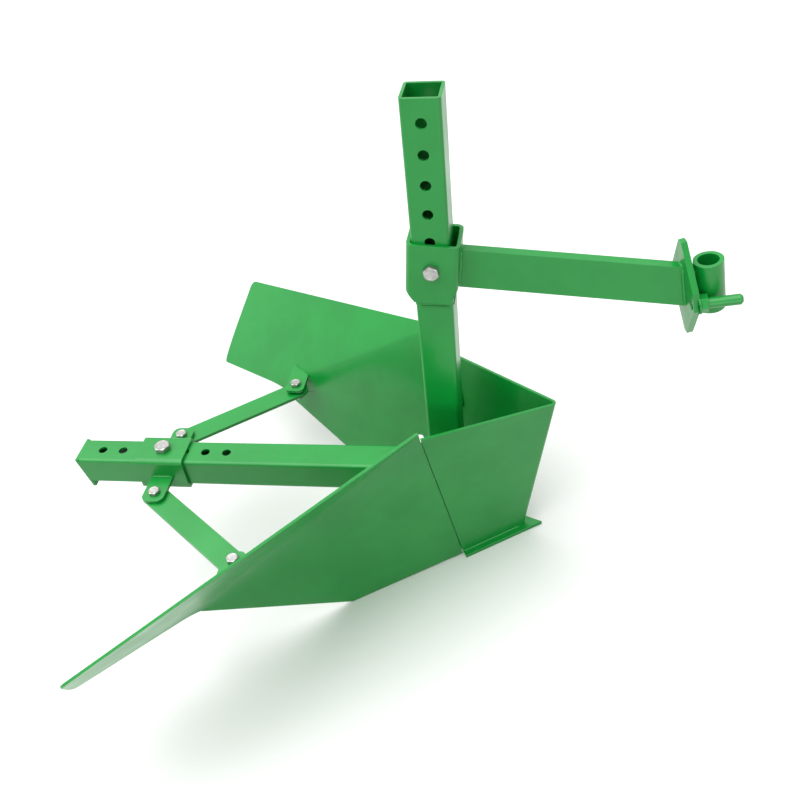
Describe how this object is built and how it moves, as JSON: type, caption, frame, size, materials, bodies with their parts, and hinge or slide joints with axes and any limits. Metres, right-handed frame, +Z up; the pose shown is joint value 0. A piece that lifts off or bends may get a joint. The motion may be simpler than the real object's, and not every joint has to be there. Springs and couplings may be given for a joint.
{
  "type": "walk behind ridger",
  "caption": "Furrow opener and ridger for a walking tractor: vee shaped body with hinged mouldboards, a spreader sleeve on a rear bar and a height adjustable drawbar.",
  "frame": {"origin": "on the underside of the sole plate, below the foot of the shank, in the middle plane", "axes": "+X forward to the hitch, +Y to the machine's left, +Z up; the ground plane is z = 0"},
  "size_m": [1.0672, 0.9194, 0.7586],
  "materials": {
    "green_paint": "gloss",
    "zinc_fasteners": "satin"
  },
  "bodies": {
    "plough": {"upper_tube": "green_paint", "lower_leg": "green_paint", "vee_panel_right": "green_paint", "vee_panel_left": "green_paint", "sole_plate": "green_paint", "nose_web": "green_paint", "cross_web": "green_paint", "rear_bar": "green_paint", "end_cap": "green_paint", "barrel_low_right": "green_paint", "barrel_low_left": "green_paint", "barrel_high_right": "green_paint", "barrel_high_left": "green_paint", "hinge_pin_right": "zinc_fasteners", "hinge_pin_left": "zinc_fasteners"},
    "drawbar_head": {"collar": "green_paint", "collar_bolt": "zinc_fasteners", "collar_nut": "zinc_fasteners", "drawbar": "green_paint", "hitch_plate": "green_paint", "hitch_socket": "green_paint", "socket_web": "green_paint", "stop_nut_right": "green_paint", "stop_nut_left": "green_paint"},
    "stop_screw_right": {"stop_bolt_right": "green_paint"},
    "stop_screw_left": {"stop_bolt_left": "green_paint"},
    "sleeve": {"spreader_sleeve": "green_paint", "lug_right": "green_paint", "lug_left": "green_paint", "sleeve_bolt": "zinc_fasteners", "sleeve_nut": "zinc_fasteners", "lug_bolt_right": "zinc_fasteners", "lug_bolt_left": "zinc_fasteners", "lug_nut_right": "zinc_fasteners", "lug_nut_left": "zinc_fasteners"},
    "link_bar_right": {"link_right": "green_paint"},
    "link_bar_left": {"link_left": "green_paint"},
    "wing_right": {"mouldboard_right": "green_paint", "wing_barrel_right": "green_paint", "bracket_right": "green_paint", "bracket_bolt_right": "zinc_fasteners", "bracket_nut_right": "zinc_fasteners"},
    "wing_left": {"mouldboard_left": "green_paint", "wing_barrel_left": "green_paint", "bracket_left": "green_paint", "bracket_bolt_left": "zinc_fasteners", "bracket_nut_left": "zinc_fasteners"}
  },
  "joints": [
    {"name": "drawbar_height", "type": "slide", "parent": "plough", "child": "drawbar_head", "axis": [0.1685, 0, 0.9857], "range_m": [0, 0.1975]},
    {"name": "stop_screw_right", "type": "slide", "parent": "drawbar_head", "child": "stop_screw_right", "axis": [1, 0, 0], "range_m": [-0.008, 0.005]},
    {"name": "stop_screw_left", "type": "slide", "parent": "drawbar_head", "child": "stop_screw_left", "axis": [1, 0, 0], "range_m": [-0.008, 0.005]},
    {"name": "spread", "type": "slide", "parent": "plough", "child": "sleeve", "axis": [0.9903, 0, -0.1392], "range_m": [-0.03, 0.037]},
    {"name": "link_swing_left", "type": "hinge", "parent": "sleeve", "child": "link_bar_left", "pos_m": [-0.45667, 0.0687, 0.19899], "axis": [0.1392, 0, 0.9903], "range_deg": [-8, 10]},
    {"name": "link_swing_right", "type": "hinge", "parent": "sleeve", "child": "link_bar_right", "pos_m": [-0.45667, -0.0687, 0.19899], "axis": [0.1392, 0, 0.9903], "range_deg": [-10, 8]},
    {"name": "wing_swing_left", "type": "hinge", "parent": "plough", "child": "wing_left", "pos_m": [0.01374, 0.04478, 0.0081], "axis": [0.0261, 0.1703, 0.9851], "range_deg": [-6, 5]},
    {"name": "wing_swing_right", "type": "hinge", "parent": "plough", "child": "wing_right", "pos_m": [0.01374, -0.04478, 0.0081], "axis": [0.0261, -0.1703, 0.9851], "range_deg": [-5, 6]}
  ],
  "couplings": [
    {"joint": "link_swing_left", "follows": "spread", "rad_per_m": 4.5666},
    {"joint": "link_swing_right", "follows": "spread", "rad_per_m": -4.5666},
    {"joint": "wing_swing_left", "follows": "spread", "rad_per_m": -2.7498},
    {"joint": "wing_swing_right", "follows": "spread", "rad_per_m": 2.7498}
  ]
}
